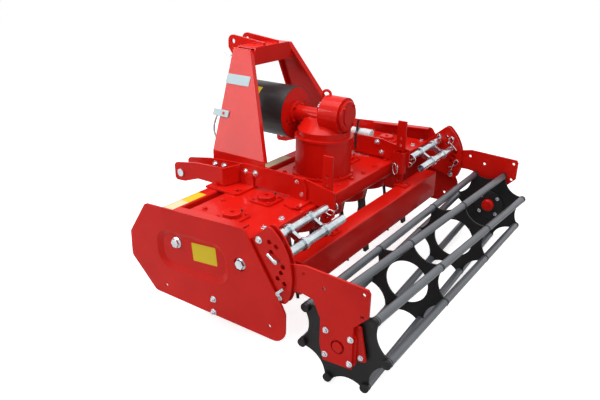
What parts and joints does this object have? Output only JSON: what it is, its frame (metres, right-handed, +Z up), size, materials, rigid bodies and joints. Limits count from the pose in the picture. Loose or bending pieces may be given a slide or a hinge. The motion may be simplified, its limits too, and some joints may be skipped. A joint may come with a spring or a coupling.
{
  "type": "power harrow",
  "caption": "Tractor-mounted power harrow: gear trough with tined rotors, three point mast, side plates, levelling beam and cage roller on arms.",
  "frame": {"origin": "on the ground below the middle of the machine's box", "axes": "+X across the machine to its right, +Y forward to the tractor, +Z up"},
  "size_m": [1.852, 1.4571, 1.192],
  "materials": {
    "red_paint": "gloss red paint",
    "black_paint": "satin black paint",
    "black_steel": "dark oiled steel",
    "zinc": "bright zinc plate",
    "steel": "machined steel",
    "shield_plastic": "black plastic",
    "white_plastic": "white plastic"
  },
  "bodies": {
    "harrow_frame": {"trough": "red_paint", "trough_cover": "red_paint", "rotor_caps": "red_paint", "gearbox_body": "red_paint", "gearbox_cover": "red_paint", "shield_plate": "red_paint", "pto_shield": "shield_plastic", "mast_leg_left": "red_paint", "mast_leg_right": "red_paint", "mast_beam": "red_paint", "toplink_plates": "red_paint", "hitch_bracket_left": "red_paint", "hitch_bracket_right": "red_paint", "hitch_pins": "zinc", "frame_feet": "red_paint", "front_beam": "red_paint", "side_plate_left": "red_paint", "side_plate_right": "red_paint", "side_bolts": "zinc", "sector_plates_left": "red_paint", "sector_plates_right": "red_paint", "guide_tubes": "zinc", "stop_tubes": "zinc", "tube_links": "zinc", "lower_pins": "zinc", "levelling_beam": "red_paint", "hanger_bars": "red_paint", "hanger_sleeves": "red_paint", "hanger_pins": "zinc", "document_canister": "white_plastic"},
    "roller_arms": {"roller_arm_left": "red_paint", "roller_arm_right": "red_paint", "roller_bearings": "red_paint"},
    "roller": {"roller_bars": "black_paint", "roller_end_plates": "black_paint", "roller_discs": "black_paint", "roller_hubs": "red_paint"},
    "rotor_1": {"rotor_1": "red_paint", "tines_1": "black_steel"},
    "rotor_2": {"rotor_2": "red_paint", "tines_2": "black_steel"},
    "rotor_3": {"rotor_3": "red_paint", "tines_3": "black_steel"},
    "rotor_4": {"rotor_4": "red_paint", "tines_4": "black_steel"},
    "rotor_5": {"rotor_5": "red_paint", "tines_5": "black_steel"},
    "rotor_6": {"rotor_6": "red_paint", "tines_6": "black_steel"},
    "rotor_7": {"rotor_7": "red_paint", "tines_7": "black_steel"},
    "pto_shaft": {"pto_shaft": "steel"}
  },
  "joints": [
    {"name": "roller_arm_pivot", "type": "hinge", "parent": "harrow_frame", "child": "roller_arms", "pos_m": [0, -0.05725, 0.434], "axis": [-1, 0, 0], "range_deg": [-3, 0]},
    {"name": "roller_spin", "type": "hinge", "parent": "roller_arms", "child": "roller", "pos_m": [0, -0.51425, 0.2145], "axis": [1, 0, 0], "continuous": true},
    {"name": "rotor_1_spin", "type": "hinge", "parent": "harrow_frame", "child": "rotor_1", "pos_m": [-0.735, 0.13675, 0.356], "axis": [0, 0, 1], "continuous": true},
    {"name": "rotor_2_spin", "type": "hinge", "parent": "harrow_frame", "child": "rotor_2", "pos_m": [-0.49, 0.13675, 0.356], "axis": [0, 0, 1], "continuous": true},
    {"name": "rotor_3_spin", "type": "hinge", "parent": "harrow_frame", "child": "rotor_3", "pos_m": [-0.245, 0.13675, 0.356], "axis": [0, 0, 1], "continuous": true},
    {"name": "rotor_4_spin", "type": "hinge", "parent": "harrow_frame", "child": "rotor_4", "pos_m": [0, 0.13675, 0.356], "axis": [0, 0, 1], "continuous": true},
    {"name": "rotor_5_spin", "type": "hinge", "parent": "harrow_frame", "child": "rotor_5", "pos_m": [0.245, 0.13675, 0.356], "axis": [0, 0, 1], "continuous": true},
    {"name": "rotor_6_spin", "type": "hinge", "parent": "harrow_frame", "child": "rotor_6", "pos_m": [0.49, 0.13675, 0.356], "axis": [0, 0, 1], "continuous": true},
    {"name": "rotor_7_spin", "type": "hinge", "parent": "harrow_frame", "child": "rotor_7", "pos_m": [0.735, 0.13675, 0.356], "axis": [0, 0, 1], "continuous": true},
    {"name": "pto_shaft_spin", "type": "hinge", "parent": "harrow_frame", "child": "pto_shaft", "pos_m": [0, 0.37675, 0.819], "axis": [0, 1, 0], "continuous": true}
  ],
  "couplings": [
    {"joint": "rotor_1_spin", "follows": "rotor_4_spin", "ratio": -1},
    {"joint": "rotor_2_spin", "follows": "rotor_4_spin", "ratio": 1},
    {"joint": "rotor_3_spin", "follows": "rotor_4_spin", "ratio": -1},
    {"joint": "rotor_5_spin", "follows": "rotor_4_spin", "ratio": -1},
    {"joint": "rotor_6_spin", "follows": "rotor_4_spin", "ratio": 1},
    {"joint": "rotor_7_spin", "follows": "rotor_4_spin", "ratio": -1},
    {"joint": "pto_shaft_spin", "follows": "rotor_4_spin", "ratio": 2}
  ]
}
